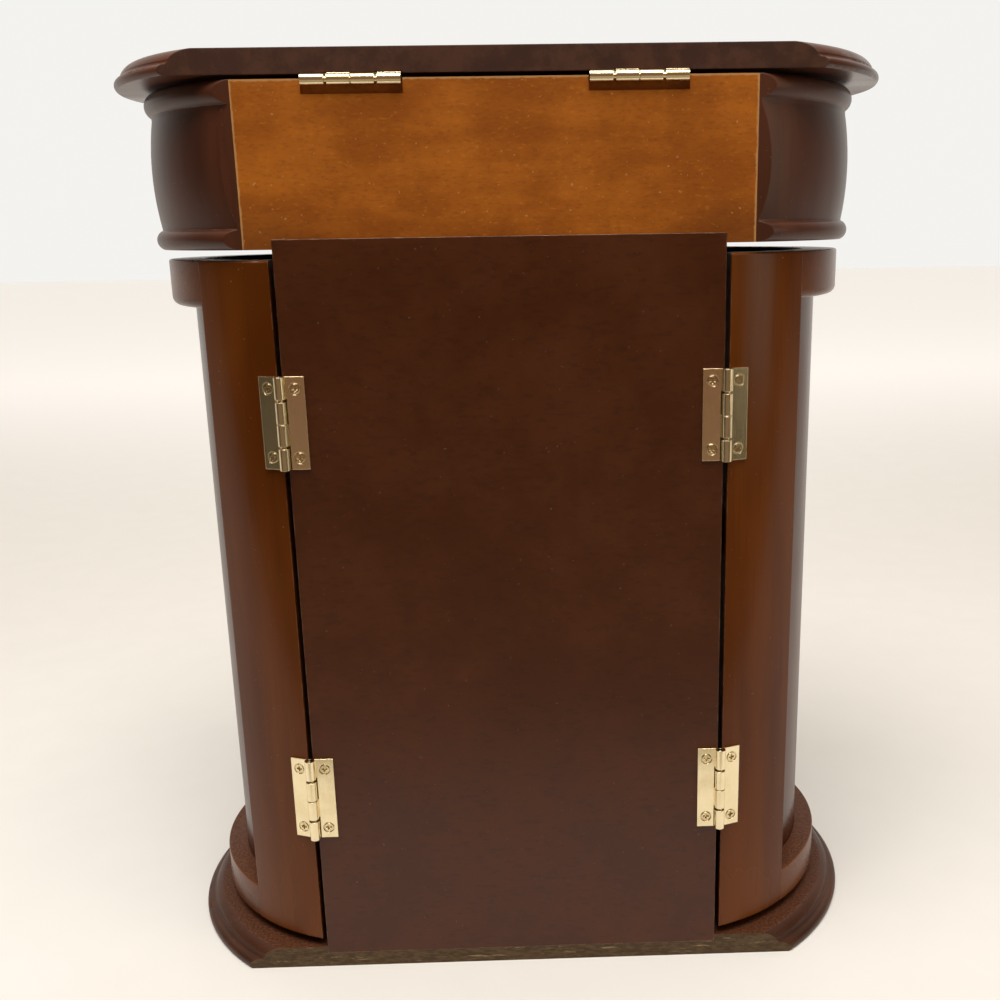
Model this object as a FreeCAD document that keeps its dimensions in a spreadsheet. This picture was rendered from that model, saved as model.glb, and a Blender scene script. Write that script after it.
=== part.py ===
import FreeCAD, Part
import Sketcher
import math
import os
from types import SimpleNamespace

# Jewelry chest with round ends: a housing of drawers, a lidded top box and two bent side doors.
# Frame: +Z up, front towards -Y, origin on the floor under the middle of the chest, millimetres.

DRIVING_SIZES = (
    # heights, from the floor up
    ("base_thick", 10.0),
    ("base_gap", 4.0),
    ("door_height", 303.5),
    ("top_gap", 4.0),
    ("top_box_height", 62.8),
    ("lid_gap", 1.7),
    ("lid_thick", 9.5),
    # plan: the panel sets the width, the doors set the round ends and the depth
    ("panel_half", 89.0),
    ("panel_thick", 3.0),
    ("door_edge_gap", 2.0),
    ("end_inset", 24.0),
    ("door_radius", 86.0),
    ("front_setback", 4.0),
    ("frieze_overhang", 1.2),
    ("lid_overhang", 14.6),
    ("lid_front_overhang", 14.0),
    ("base_overhang", 12.5),
    ("base_front_overhang", 12.0),
    ("base_inset", 8.0),
    # moulded edge of the lid
    ("lid_bead_rise", 4.0),
    ("lid_bead_inset", 0.3),
    ("lid_bead_round", 2.3),
    ("lid_quirk", 0.5),
    ("lid_cove_run", 0.9),
    ("lid_cove_rise", 1.2),
    ("lid_cove_round", 1.6),
    ("lid_step_rise", 0.4),
    ("lid_shoulder_run", 4.8),
    ("lid_shoulder_round", 7.0),
    # moulded edge of the base
    ("base_bead_rise", 4.4),
    ("base_bead_inset", 1.6),
    ("base_bead_round", 2.9),
    ("base_quirk", 0.6),
    ("base_cove_run", 1.8),
    ("base_cove_rise", 2.2),
    ("base_cove_round", 2.2),
    ("base_step_rise", 0.4),
    ("base_shoulder_run", 4.8),
    ("base_shoulder_round", 5.8),
    # frieze of the top box
    ("torus_rise", 8.0),
    ("torus_round", 4.3),
    ("frieze_fillet", 0.7),
    ("belly_round", 124.0),
    ("frieze_bead_rise", 8.6),
    ("frieze_bead_round", 4.9),
    ("frieze_bead_fillet", 1.7),
    ("frieze_wall", 6.5),
    ("board_inset", 1.0),
    ("board_thick", 8.0),
    ("floor_thick", 6.0),
    # housing
    ("panel_base_lap", 3.0),
    ("panel_board_lap", 3.9),
    ("wall_inset", 2.0),
    ("wall_thick", 7.0),
    ("shelf_thick", 5.0),
    # side doors
    ("door_thick", 15.0),
    ("stile_angle", 47.0),
    ("top_rail_height", 19.5),
    ("bottom_rail_height", 17.3),
    ("top_rail_round", 3.6),
    ("door_edge_round", 1.0),
    ("door_panel_recess", 9.4),
    ("door_panel_thick", 3.0),
    ("groove_depth", 4.0),
    ("joint_fit", 0.1),
    # hinges and their screws
    ("hinge_length", 38.0),
    ("leaf_width", 9.8),
    ("leaf_thick", 1.0),
    ("leaf_seat", 0.2),
    ("barrel_radius", 2.2),
    ("hinge_pin_radius", 1.15),
    ("pin_fit", 0.05),
    ("knuckle_middle_gap", 0.4),
    ("knuckle_outer_gap", 1.1),
    ("knuckle_clear", 0.5),
    ("upper_hinge_height", 253.2),
    ("lower_hinge_height", 85.8),
    ("door_leaf_angle", 70.0),
    ("lid_hinge_inset", 46.2),
    ("lid_pin_proud", 0.6),
    ("lid_pin_drop", 0.45),
    ("notch_clear", 0.4),
    ("notch_depth", 2.6),
    ("notch_rise", 5.6),
    ("screw_head_radius", 2.1),
    ("screw_shank_radius", 1.2),
    ("screw_length", 7.5),
    ("screw_tip", 1.5),
    ("screw_slot_width", 0.8),
    ("screw_slot_length", 2.5),
    ("screw_slot_depth", 0.9),
    ("screw_pitch", 28.2),
    ("screw_setback", 5.9),
    ("sink_rim_radius", 2.45),
    ("sink_rim_depth", 0.4),
    # drawers
    ("drawer_front_thick", 8.0),
    ("drawer_front_side_gap", 3.0),
    ("drawer_front_gap", 2.0),
    ("drawer_front_round", 1.5),
    ("drawer_side_clear", 0.6),
    ("drawer_under_clear", 0.2),
    ("drawer_head_room", 12.0),
    ("drawer_back_room", 6.0),
    ("drawer_wood", 6.0),
    ("drawer_bottom_thick", 3.0),
    ("lining_thick", 5.0),
    ("lining_round", 2.0),
    ("lining_fit", 0.4),
    # knobs and hooks
    ("knob_radius", 7.0),
    ("knob_neck_radius", 3.0),
    ("knob_foot_radius", 4.5),
    ("knob_foot_rise", 1.5),
    ("knob_neck_rise", 5.0),
    ("knob_reach", 12.5),
    ("knob_crown_round", 8.5),
    ("door_knob_angle", 59.0),
    ("hook_reach", 13.0),
    ("hook_radius", 1.2),
    ("hook_foot_radius", 2.6),
    ("hook_foot_thick", 1.2),
    ("hook_ball_radius", 2.2),
    ("hook_ball_length", 3.2),
    ("hook_ball_ease", 0.6),
    ("hook_drop", 10.0),
    ("hook_step_angle", 15.0),
    # tray and lid fittings
    ("tray_lining_thick", 3.0),
    ("tray_divider_thick", 5.0),
    ("tray_divider_height", 30.0),
    ("roll_height", 12.0),
    ("roll_round", 10.0),
    ("roll_gap", 1.0),
    ("roll_margin", 8.0),
    ("roll_side_margin", 15.0),
    ("mirror_inset", 16.0),
    ("mirror_thick", 2.5),
    ("frame_rim", 10.0),
    ("frame_lip", 3.0),
    ("frame_thick", 5.0),
    ("frame_setback", 12.0),
    # door catches
    ("catch_reach", 12.0),
    ("catch_depth", 10.0),
    ("catch_height", 22.0),
    ("catch_clear", 0.4),
    # every cut runs past the solid by this much
    ("overrun", 5.0),
)
DRAWER_COUNT = 4
KNUCKLE_COUNT = 4
HOOK_COUNT = 5
ROLL_COUNT = 8
FULL_TURN = 360.0
HALF_TURN = 180.0
QUARTER_TURN = 90.0

doc = FreeCAD.newDocument("jewelry_chest")
sheet = doc.addObject("Spreadsheet::Sheet", "sizes")
for row, (alias, value) in enumerate(DRIVING_SIZES, 1):
    sheet.set("A%d" % row, alias)
    sheet.set("B%d" % row, str(value))
    sheet.setAlias("B%d" % row, alias)
doc.recompute()


class Size:
    """A length kept both as a value and as the sheet formula that it follows."""

    def __init__(self, formula, value):
        self.formula = formula
        self.value = value

    def joined(self, sign, other, value):
        return Size("(%s %s %s)" % (self.formula, sign, other.formula), value)

    def __add__(self, other):
        other = as_size(other)
        return self.joined("+", other, self.value + other.value)

    def __sub__(self, other):
        other = as_size(other)
        return self.joined("-", other, self.value - other.value)

    def __mul__(self, other):
        other = as_size(other)
        return self.joined("*", other, self.value * other.value)

    def __truediv__(self, other):
        other = as_size(other)
        return self.joined("/", other, self.value / other.value)

    def __radd__(self, other):
        return as_size(other) + self

    def __rsub__(self, other):
        return as_size(other) - self

    def __rmul__(self, other):
        return as_size(other) * self

    def __neg__(self):
        return as_size(0) - self


def as_size(item):
    return item if isinstance(item, Size) else Size("(%r)" % item, item)


def root(square):
    return Size("sqrt(%s)" % square.formula, math.sqrt(square.value))


def leg(long_side, side):
    """The third side of a right-angled triangle, from its longest side and one other."""
    return root(long_side * long_side - side * side)


def slant(run, rise):
    """The longest side of a right-angled triangle."""
    return root(run * run + rise * rise)


def cosine(angle):
    return Size("cos(%s * 1 deg)" % angle.formula, math.cos(math.radians(angle.value)))


def sine(angle):
    return Size("sin(%s * 1 deg)" % angle.formula, math.sin(math.radians(angle.value)))


def arc_angle(arc, radius):
    """The angle in degrees that a length covers along a circle."""
    return arc / radius * (HALF_TURN / math.pi)


dim = SimpleNamespace(**{alias: Size("sizes.%s" % alias, value) for alias, value in DRIVING_SIZES})
nodes = []


def vector(x, y, z):
    return FreeCAD.Vector(x, y, z)


def bind(item, **properties):
    for name, size in properties.items():
        item.setExpression(name, as_size(size).formula)


def place(item, x=0, y=0, z=0, turn=None, axis=(0, 0, 1), rotation=None):
    """Put an object at a bound place, turned about an axis or by a fixed rotation."""
    if turn is not None:
        rotation = FreeCAD.Rotation(vector(*axis), as_size(turn).value)
    item.Placement = FreeCAD.Placement(vector(0, 0, 0), rotation or FreeCAD.Rotation())
    for name, size in (("x", x), ("y", y), ("z", z)):
        item.setExpression("Placement.Base.%s" % name, as_size(size).formula)
    if isinstance(turn, Size):
        item.setExpression("Placement.Rotation.Angle", turn.formula)
    return item


def box(name, low, high):
    """A board between two corners."""
    item = doc.addObject("Part::Box", name)
    bind(item, Length=high[0] - low[0], Width=high[1] - low[1], Height=high[2] - low[2])
    return place(item, *low)


def rod(name, at, radius, length, start=0, sweep=FULL_TURN):
    """An upright cylinder, or a sector of one that starts at an angle from +X."""
    item = doc.addObject("Part::Cylinder", name)
    bind(item, Radius=radius, Height=length, Angle=sweep)
    return place(item, *at, turn=as_size(start))


def cut(name, base, *tools):
    for count, tool in enumerate(tools):
        step = doc.addObject("Part::Cut", "%s_cut_%d" % (name, count))
        step.Base = base
        step.Tool = tool
        base = step
    return base


def gather(kind, name, items):
    item = doc.addObject(kind, name)
    item.Shapes = list(items)
    item.Refine = True
    return item


def fuse(name, *items):
    return gather("Part::MultiFuse", name, items)


def common(name, *items):
    return gather("Part::MultiCommon", name, items)


def group(name, items):
    item = doc.addObject("Part::Compound", name)
    item.Links = list(items)
    return item


def mirrored(name, source):
    """The left-hand twin of a right-hand piece."""
    item = doc.addObject("Part::Mirroring", name)
    item.Source = source
    item.Base = vector(0, 0, 0)
    item.Normal = vector(1, 0, 0)
    return item


def node(label, item):
    item.Label = label
    nodes.append(item)
    return item


def both_sides(label, item):
    """Two nodes from one right-hand piece; label holds %s for the side."""
    node(label % "right", item)
    node(label % "left", mirrored("%s_twin" % item.Name, item))


def outline(body, name, points):
    """A closed sketch on the body's XZ plane. A point is (x, z) or (x, z, bend), where bend is the
    radius of the arc to the next point: plus swells outwards, minus is hollow."""
    sketch = body.newObject("Sketcher::SketchObject", name)
    plane = [item for item in body.Origin.OriginFeatures if item.Role == "XZ_Plane"][0]
    sketch.AttachmentSupport = [(plane, "")]
    sketch.MapMode = "FlatFace"
    corners = [(as_size(point[0]), as_size(point[1])) for point in points]
    ends = []
    for index, point in enumerate(points):
        here = vector(corners[index][0].value, corners[index][1].value, 0)
        after = corners[(index + 1) % len(points)]
        there = vector(after[0].value, after[1].value, 0)
        if len(point) == 2:
            sketch.addGeometry(Part.LineSegment(here, there), False)
            ends.append((1, 2))
            continue
        swells = point[2].value > 0
        start, stop = (here, there) if swells else (there, here)
        chord = stop - start
        rise = math.sqrt(max(point[2].value ** 2 - (chord.Length / 2) ** 2, 0))
        centre = (start + stop) / 2 + vector(-chord.y, chord.x, 0).normalize() * rise
        circle = Part.Circle(centre, vector(0, 0, 1), abs(point[2].value))
        angles = [math.atan2(spot.y - centre.y, spot.x - centre.x) for spot in (start, stop)]
        sketch.addGeometry(Part.ArcOfCircle(circle, *angles), False)
        ends.append((1, 2) if swells else (2, 1))
    for index, point in enumerate(points):
        last = index - 1 if index else len(points) - 1
        sketch.addConstraint(Sketcher.Constraint("Coincident", last, ends[last][1], index, ends[index][0]))
        for kind, size, axis in (("DistanceX", corners[index][0], -2), ("DistanceY", corners[index][1], -1)):
            if size.formula == as_size(0).formula:
                sketch.addConstraint(Sketcher.Constraint("PointOnObject", index, ends[index][0], axis))
                continue
            number = sketch.addConstraint(
                Sketcher.Constraint(kind, -1, 1, index, ends[index][0], size.value))
            sketch.setExpression("Constraints[%d]" % number, size.formula)
        if len(point) == 3:
            bend = point[2] if point[2].value > 0 else -point[2]
            number = sketch.addConstraint(Sketcher.Constraint("Radius", index, bend.value))
            sketch.setExpression("Constraints[%d]" % number, bend.formula)
    return sketch


def turned(name, points):
    """A piece turned about the body's Z axis."""
    body = doc.addObject("PartDesign::Body", name)
    sketch = outline(body, "%s_outline" % name, points)
    lathe = body.newObject("PartDesign::Revolution", "%s_turn" % name)
    lathe.Profile = sketch
    lathe.ReferenceAxis = (sketch, ["V_Axis"])
    lathe.Angle = FULL_TURN
    return body


def moulded(name, points, length):
    """A length of moulding: the outline runs along -Y of the body."""
    body = doc.addObject("PartDesign::Body", name)
    sketch = outline(body, "%s_outline" % name, points)
    pad = body.newObject("PartDesign::Pad", "%s_pad" % name)
    pad.Profile = sketch
    bind(pad, Length=length)
    return body


def eased(body, direction, radius):
    """Round the edges of the body's face that looks in a direction."""
    doc.recompute()
    pad = body.Tip
    named = ["Face%d" % (index + 1) for index, face in enumerate(pad.Shape.Faces)
             if face.normalAt(0, 0).getAngle(vector(*direction)) < math.pi / 4]
    fillet = body.newObject("PartDesign::Fillet", "%s_ease" % body.Name)
    fillet.Base = (pad, named)
    bind(fillet, Radius=radius)
    return body


# levels and planes that several pieces share
DOOR_EDGE = dim.panel_half + dim.door_edge_gap
END_SPREAD = dim.panel_half - dim.end_inset
END_DEPTH = leg(dim.door_radius, DOOR_EDGE - END_SPREAD)
FRIEZE_REACH = END_DEPTH - dim.front_setback
LID_REACH = FRIEZE_REACH + dim.lid_front_overhang
BACK = (END_DEPTH + LID_REACH) / 2 - dim.barrel_radius
CENTRE = BACK - END_DEPTH
FRONT_FACE = CENTRE - FRIEZE_REACH
WALL_FRONT = FRONT_FACE + dim.drawer_front_thick
FRIEZE_RADIUS = dim.door_radius + dim.frieze_overhang
LID_RADIUS = dim.door_radius + dim.lid_overhang
DOOR_FOOT = dim.base_thick + dim.base_gap
DOOR_HEAD = DOOR_FOOT + dim.door_height
BOX_FOOT = DOOR_HEAD + dim.top_gap
BOX_HEAD = BOX_FOOT + dim.top_box_height
LID_FOOT = BOX_HEAD + dim.lid_gap
BOARD_BACK = BACK - dim.panel_thick
BOARD_FRONT = BOARD_BACK - dim.board_thick
FRONTWARD = FreeCAD.Rotation(vector(0, 0, 1), -QUARTER_TURN)
LEVEL_BACK = FreeCAD.Rotation(vector(1, 0, 0), -QUARTER_TURN)


def swell(round_radius, rise):
    """How far an arc of this radius stands out over a straight rise."""
    return round_radius - leg(round_radius, rise / 2)


def moulded_edge(board, reach):
    """Bead, quirk, cove, step and shoulder of the base or the lid, from the underside up."""
    size = {alias[len(board) + 1:]: length for alias, length in vars(dim).items()
            if alias.startswith("%s_" % board)}
    chord = slant(size["bead_inset"], size["bead_rise"])
    hollow = leg(size["bead_round"], chord / 2) * size["bead_rise"] / chord
    foot = reach - size["bead_round"] + hollow + size["bead_inset"] / 2
    bead = foot - size["bead_inset"]
    cove_top = size["bead_rise"] + size["cove_rise"]
    shoulder = bead - size["quirk"] - size["cove_run"]
    return [(foot, 0, size["bead_round"]), (bead, size["bead_rise"]),
            (bead - size["quirk"], size["bead_rise"], -size["cove_round"]), (shoulder, cove_top),
            (shoulder, cove_top + size["step_rise"], size["shoulder_round"]),
            (shoulder - size["shoulder_run"], size["thick"])]


def frieze_edge(reach):
    """Torus, belly and bead of the top box, from the underside up."""
    belly_foot = dim.torus_rise + dim.frieze_fillet
    bead_foot = dim.top_box_height - dim.frieze_bead_rise
    return [(reach, 0, dim.torus_round), (reach, dim.torus_rise), (reach, belly_foot, dim.belly_round),
            (reach, bead_foot - dim.frieze_bead_fillet), (reach, bead_foot, dim.frieze_bead_round),
            (reach, dim.top_box_height)]


def round_ended(name, edge_at, spread, radius, reach, back, foot, thick):
    """A board with moulded round ends and a moulded front, cut flat at the back."""
    ends = []
    for label, side in (("right", 1), ("left", -1)):
        end = turned("%s_%s_end" % (name, label), [(0, 0)] + edge_at(radius) + [(0, thick)])
        ends.append(place(end, side * spread, CENTRE, foot))
    middle = box("%s_middle" % name, (-spread, CENTRE - reach - dim.overrun, foot),
                 (spread, back, foot + thick))
    half = spread + radius + dim.overrun
    behind = CENTRE - back
    front = moulded("%s_front" % name, [(behind, 0)] + edge_at(reach) + [(behind, thick)], 2 * half)
    place(front, half, CENTRE, foot, rotation=FRONTWARD)
    return common(name, fuse("%s_whole" % name, *ends, middle), front)


def plain_ended(name, radius, low, high, foot, thick):
    """A plain board with round ends between a front and a back plane."""
    ends = [rod("%s_end_%d" % (name, side + 1), (side * END_SPREAD, CENTRE, foot), radius, thick)
            for side in (-1, 1)]
    middle = box("%s_middle" % name, (-END_SPREAD, low, foot), (END_SPREAD, high, foot + thick))
    half = END_SPREAD + radius + dim.overrun
    slab = box("%s_slab" % name, (-half, low, foot), (half, high, foot + thick))
    return common(name, fuse("%s_whole" % name, *ends, middle), slab)


# Screws: one countersunk cross-slot pattern, copied wherever a hinge leaf is fixed
def screw_pattern():
    shank_end = -dim.screw_length
    blank = turned("screw_blank", [
        (0, shank_end), (dim.screw_shank_radius, shank_end + dim.screw_tip),
        (dim.screw_shank_radius, -dim.leaf_thick), (dim.screw_head_radius, 0), (0, 0)])
    arms = []
    for name, half_x, half_y in (("long", dim.screw_slot_length / 2, dim.screw_slot_width / 2),
                                 ("cross", dim.screw_slot_width / 2, dim.screw_slot_length / 2)):
        arms.append(box("screw_slot_%s" % name, (-half_x, -half_y, -dim.screw_slot_depth),
                        (half_x, half_y, dim.overrun)))
    return cut("screw", blank, *arms)


screw = screw_pattern()


def screw_copy(name, at, rotation=None, turn=None):
    """A screw whose head faces the way that the rotation takes +Z."""
    item = doc.addObject("App::Link", name)
    item.LinkedObject = screw
    return place(item, *at, rotation=rotation, turn=turn)


def pilot(name, at, depth, rotation=None):
    """The hole that a screw's shank sits in."""
    item = doc.addObject("Part::Cylinder", name)
    bind(item, Radius=dim.screw_shank_radius + dim.pin_fit, Height=depth)
    return place(item, *at, rotation=rotation)


def hinge_leaf(name, offset):
    """A stamped leaf: its plate runs along +X from the pin on Z, its outer face looks to +Y.
    Its own knuckles are the even ones; the other leaf, turned end for end, fills the gaps."""
    half = dim.hinge_length / 2
    knuckle = dim.hinge_length / KNUCKLE_COUNT
    outer_seam = dim.knuckle_outer_gap / 2
    seams = (0, outer_seam, dim.knuckle_middle_gap / 2, outer_seam, 0)
    plate = box("%s_plate" % name, (0, -offset, -half), (dim.leaf_width, dim.leaf_thick - offset, half))
    knuckles = []
    gaps = []
    for count in range(0, KNUCKLE_COUNT, 2):
        foot = count * knuckle + seams[count] - half
        head = (count + 1) * knuckle - seams[count + 1] - half
        gap_head = (count + 2) * knuckle + seams[count + 2] - half
        knuckles.append(rod("%s_knuckle_%d" % (name, count), (0, 0, foot), dim.barrel_radius, head - foot))
        gaps.append(rod("%s_gap_%d" % (name, count), (0, 0, head), dim.barrel_radius + dim.knuckle_clear,
                        gap_head - head))
    leaf = fuse("%s_blank" % name, plate, *knuckles)
    bore = rod("%s_bore" % name, (0, 0, -half - dim.overrun), dim.hinge_pin_radius + dim.pin_fit,
               dim.hinge_length + 2 * dim.overrun)
    sinks = []
    for side in (-1, 1):
        screw_z = side * dim.screw_pitch / 2
        sink = doc.addObject("Part::Cone", "%s_sink_%d" % (name, side + 1))
        bind(sink, Radius1=dim.screw_shank_radius, Radius2=dim.screw_head_radius, Height=dim.leaf_thick)
        sinks.append(place(sink, dim.screw_setback, -offset, screw_z, rotation=LEVEL_BACK))
        rim = doc.addObject("Part::Cylinder", "%s_sink_rim_%d" % (name, side + 1))
        bind(rim, Radius=dim.sink_rim_radius, Height=dim.sink_rim_depth + dim.overrun)
        sinks.append(place(rim, dim.screw_setback, dim.leaf_thick - dim.sink_rim_depth - offset, screw_z,
                           rotation=LEVEL_BACK))
    return cut(name, leaf, *gaps, bore, *sinks)


def leaf_copy(name, leaf, at, rotation=None, turn=None):
    item = doc.addObject("App::Link", name)
    item.LinkedObject = leaf
    return place(item, *at, rotation=rotation, turn=turn)


# Base board with its moulded edge, rebated for the foot of the back panel
def base_edge(reach):
    return moulded_edge("base", reach)


base_blank = round_ended("base_blank", base_edge, END_SPREAD - dim.base_inset,
                         dim.door_radius + dim.base_overhang + dim.base_inset,
                         FRIEZE_REACH + dim.base_front_overhang, BACK, 0, dim.base_thick)
PANEL_FOOT = dim.base_thick - dim.panel_base_lap
PANEL_HEAD = BOX_FOOT + dim.panel_board_lap
base_rebate = box("base_rebate", (-dim.panel_half, BOARD_BACK, PANEL_FOOT),
                  (dim.panel_half, BACK + dim.overrun, dim.base_thick + dim.overrun))
node("base_board", cut("base_board", base_blank, base_rebate))

# Back panel and the side walls of the drawer housing, with pilot holes for the hinge screws
PIN_X = dim.panel_half + dim.door_edge_gap / 2
PIN_Y = BACK + dim.barrel_radius
HINGE_HEIGHTS = (dim.lower_hinge_height, dim.upper_hinge_height)
SCREW_HEIGHTS = [height + side * dim.screw_pitch / 2 for height in HINGE_HEIGHTS for side in (-1, 1)]
SCREW_X = PIN_X - dim.screw_setback
WALL_OUTSIDE = dim.panel_half - dim.wall_inset
WALL_INSIDE = WALL_OUTSIDE - dim.wall_thick


def housing_pilots(name):
    return [pilot("%s_pilot_%d_%d" % (name, side + 1, count),
                  (side * SCREW_X, BACK - dim.screw_length, height),
                  dim.screw_length + dim.overrun, LEVEL_BACK)
            for side in (-1, 1) for count, height in enumerate(SCREW_HEIGHTS)]


panel_blank = box("panel_blank", (-dim.panel_half, BOARD_BACK, PANEL_FOOT),
                  (dim.panel_half, BACK, PANEL_HEAD))
node("back_panel", cut("back_panel", panel_blank, fuse("panel_pilots", *housing_pilots("panel"))))
wall_blank = box("wall_blank", (WALL_INSIDE, WALL_FRONT, dim.base_thick),
                 (WALL_OUTSIDE, BOARD_BACK, BOX_FOOT))
both_sides("side_wall_%s", cut("side_wall", wall_blank, fuse("wall_pilots", *housing_pilots("wall"))))

# Shelves between the drawers
HOUSING_HEIGHT = BOX_FOOT - dim.base_thick
DRAWER_ROOM = (HOUSING_HEIGHT - (DRAWER_COUNT - 1) * dim.shelf_thick) / DRAWER_COUNT
DRAWER_PITCH = DRAWER_ROOM + dim.shelf_thick
shelves = []
for level in range(1, DRAWER_COUNT):
    shelf_foot = dim.base_thick + level * DRAWER_PITCH - dim.shelf_thick
    shelves.append(box("shelf_%d" % level, (-WALL_INSIDE, WALL_FRONT, shelf_foot),
                       (WALL_INSIDE, BOARD_BACK, shelf_foot + dim.shelf_thick)))
node("drawer_shelves", group("drawer_shelves", shelves))

# Top box: bent ends and a front with torus, belly and bead, a plain back board and a floor
FRIEZE_FRONT = FRONT_FACE + dim.frieze_wall
TRAY_RADIUS = FRIEZE_RADIUS - dim.frieze_wall
BOARD_HALF = END_SPREAD + leg(FRIEZE_RADIUS, END_DEPTH - dim.panel_thick) - dim.board_inset
frieze = round_ended("frieze", frieze_edge, END_SPREAD, FRIEZE_RADIUS, FRIEZE_REACH, BOARD_BACK,
                     BOX_FOOT, dim.top_box_height)
tray_room = plain_ended("tray_room", TRAY_RADIUS, FRIEZE_FRONT, BOARD_FRONT, BOX_FOOT - dim.overrun,
                        dim.top_box_height + 2 * dim.overrun)
FAR = END_SPREAD + LID_RADIUS + dim.overrun
board_room = box("board_room", (-BOARD_HALF, BOARD_FRONT, BOX_FOOT - dim.overrun),
                 (BOARD_HALF, BACK, BOX_HEAD + dim.overrun))
ring = cut("frieze_ring", frieze, tray_room, board_room)
end_room = box("end_room", (BOARD_HALF, CENTRE - FAR, BOX_FOOT - dim.overrun),
               (FAR, BACK, BOX_HEAD + dim.overrun))
both_sides("top_box_end_%s", common("top_box_end", ring, end_room))
front_room = box("front_room", (-BOARD_HALF, CENTRE - FAR, BOX_FOOT - dim.overrun),
                 (BOARD_HALF, CENTRE, BOX_HEAD + dim.overrun))
node("top_box_front", common("top_box_front", ring, front_room))
node("top_box_floor", plain_ended("top_box_floor", TRAY_RADIUS - dim.joint_fit, FRIEZE_FRONT, BOARD_FRONT,
                                  BOX_FOOT, dim.floor_thick))

# Lid hinge places: the leaves lie between the board and the lid, the barrel hangs in a notch behind them
LID_PIN_Y = BOARD_BACK + dim.lid_pin_proud
LID_PIN_Z = BOX_HEAD - dim.lid_pin_drop
LID_HINGE_X = BOARD_HALF - dim.lid_hinge_inset
LID_SCREW_Y = LID_PIN_Y - dim.screw_setback
BOX_LEAF_FOOT = BOX_HEAD - dim.leaf_seat
LID_LEAF_HEAD = LID_FOOT + dim.leaf_seat
HINGE_ROOM = dim.hinge_length / 2 + dim.notch_clear


def leaf_mortise(name, side, foot, head):
    """The shallow seat of one leaf."""
    leaf_end = LID_PIN_Y - dim.leaf_width - dim.notch_clear
    middle = side * LID_HINGE_X
    return box("%s_mortise" % name, (middle - HINGE_ROOM, leaf_end, foot),
               (middle + HINGE_ROOM, BACK + dim.overrun, head))


def lid_screw_places(side):
    return [side * LID_HINGE_X + end * dim.screw_pitch / 2 for end in (-1, 1)]


board_tools = []
for side in (-1, 1):
    label = "board_hinge_%d" % (side + 1)
    middle = side * LID_HINGE_X
    board_tools.append(leaf_mortise(label, side, BOX_LEAF_FOOT, LID_FOOT))
    board_tools.append(box("%s_notch" % label,
                           (middle - HINGE_ROOM, BOARD_BACK - dim.notch_depth, BOX_HEAD - dim.notch_rise),
                           (middle + HINGE_ROOM, BACK + dim.overrun, LID_FOOT)))
    for count, screw_x in enumerate(lid_screw_places(side)):
        at = (screw_x, LID_SCREW_Y, BOX_LEAF_FOOT + dim.leaf_thick - dim.screw_length)
        board_tools.append(pilot("%s_pilot_%d" % (label, count), at, dim.screw_length + dim.overrun))
board_blank = box("board_blank", (-BOARD_HALF, BOARD_FRONT, BOX_FOOT),
                  (BOARD_HALF, BOARD_BACK, BOX_HEAD))
node("top_box_back", cut("top_box_back", board_blank, fuse("board_tools", *board_tools)))

# Tray: velvet lining, a divider, and ring rolls on one side of it
TRAY_FOOT = BOX_FOOT + dim.floor_thick
LINING_HEAD = TRAY_FOOT + dim.tray_lining_thick
node("tray_lining", plain_ended("tray_lining", TRAY_RADIUS - dim.lining_fit, FRIEZE_FRONT + dim.lining_fit,
                                BOARD_FRONT - dim.lining_fit, TRAY_FOOT, dim.tray_lining_thick))
node("tray_divider", box("tray_divider",
                         (-dim.tray_divider_thick / 2, FRIEZE_FRONT, LINING_HEAD),
                         (dim.tray_divider_thick / 2, BOARD_FRONT, LINING_HEAD + dim.tray_divider_height)))
rolls = []
roll_room = BOARD_FRONT - FRIEZE_FRONT - 2 * dim.roll_side_margin
roll_pitch = roll_room / ROLL_COUNT
roll_half = (roll_pitch - dim.roll_gap) / 2
roll_foot = dim.tray_divider_thick / 2 + dim.roll_margin
for count in range(ROLL_COUNT):
    roll = moulded("ring_roll_%d" % count, [(-roll_half, 0), (roll_half, 0, dim.roll_round),
                                            (0, dim.roll_height, dim.roll_round)], BOARD_HALF - 2 * roll_foot)
    roll_y = FRIEZE_FRONT + dim.roll_side_margin + (2 * count + 1) * roll_pitch / 2
    rolls.append(place(roll, BOARD_HALF - roll_foot, roll_y, LINING_HEAD, rotation=FRONTWARD))
node("ring_rolls", group("ring_rolls", rolls))


# Lid board with its moulded edge, hinge mortises and pilot holes
def lid_edge(reach):
    return moulded_edge("lid", reach)


lid_blank = round_ended("lid_blank", lid_edge, END_SPREAD, LID_RADIUS, LID_REACH, BOARD_BACK, LID_FOOT,
                        dim.lid_thick)
lid_tools = []
for side in (-1, 1):
    label = "lid_hinge_%d" % (side + 1)
    lid_tools.append(leaf_mortise(label, side, LID_FOOT - dim.overrun, LID_LEAF_HEAD))
    notch = doc.addObject("Part::Cylinder", "%s_notch" % label)
    bind(notch, Radius=dim.barrel_radius + dim.notch_clear, Height=2 * HINGE_ROOM)
    lid_tools.append(place(notch, side * LID_HINGE_X - HINGE_ROOM, LID_PIN_Y, LID_PIN_Z,
                           turn=QUARTER_TURN, axis=(0, 1, 0)))
    for count, screw_x in enumerate(lid_screw_places(side)):
        at = (screw_x, LID_SCREW_Y, LID_FOOT - dim.overrun)
        depth = LID_LEAF_HEAD - dim.leaf_thick + dim.screw_length - at[2]
        lid_tools.append(pilot("%s_pilot_%d" % (label, count), at, depth))
node("lid_board", cut("lid_board", lid_blank, fuse("lid_tools", *lid_tools)))

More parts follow.
